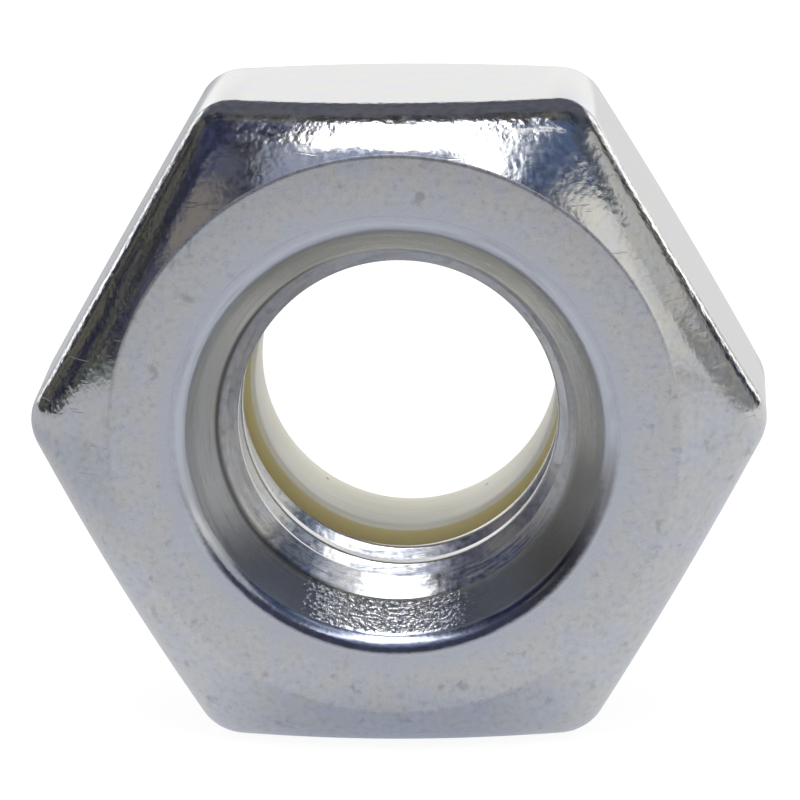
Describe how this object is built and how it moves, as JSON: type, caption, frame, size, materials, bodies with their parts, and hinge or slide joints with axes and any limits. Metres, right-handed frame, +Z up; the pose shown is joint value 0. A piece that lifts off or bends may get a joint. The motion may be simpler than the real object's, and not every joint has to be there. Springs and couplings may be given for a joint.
{
  "type": "lock nut",
  "caption": "Steel hexagon lock nut with a rolled crown that holds a nylon locking ring behind the thread.",
  "frame": {"origin": "centre of the bearing face, on the thread axis", "axes": "the nut stands on one flat: +Z up, bearing face to -Y, crown with the locking ring to +Y, two corners of the hexagon to -X and +X"},
  "size_m": [0.0114, 0.006, 0.01],
  "materials": {
    "zinc_plated_steel": "bright zinc plate, satin bearing face, polished edges, cast texture in the countersink",
    "nylon": "natural nylon, cream, slightly translucent"
  },
  "bodies": {
    "root": {"nut_body": "zinc_plated_steel", "locking_ring": "nylon"}
  },
  "joints": []
}
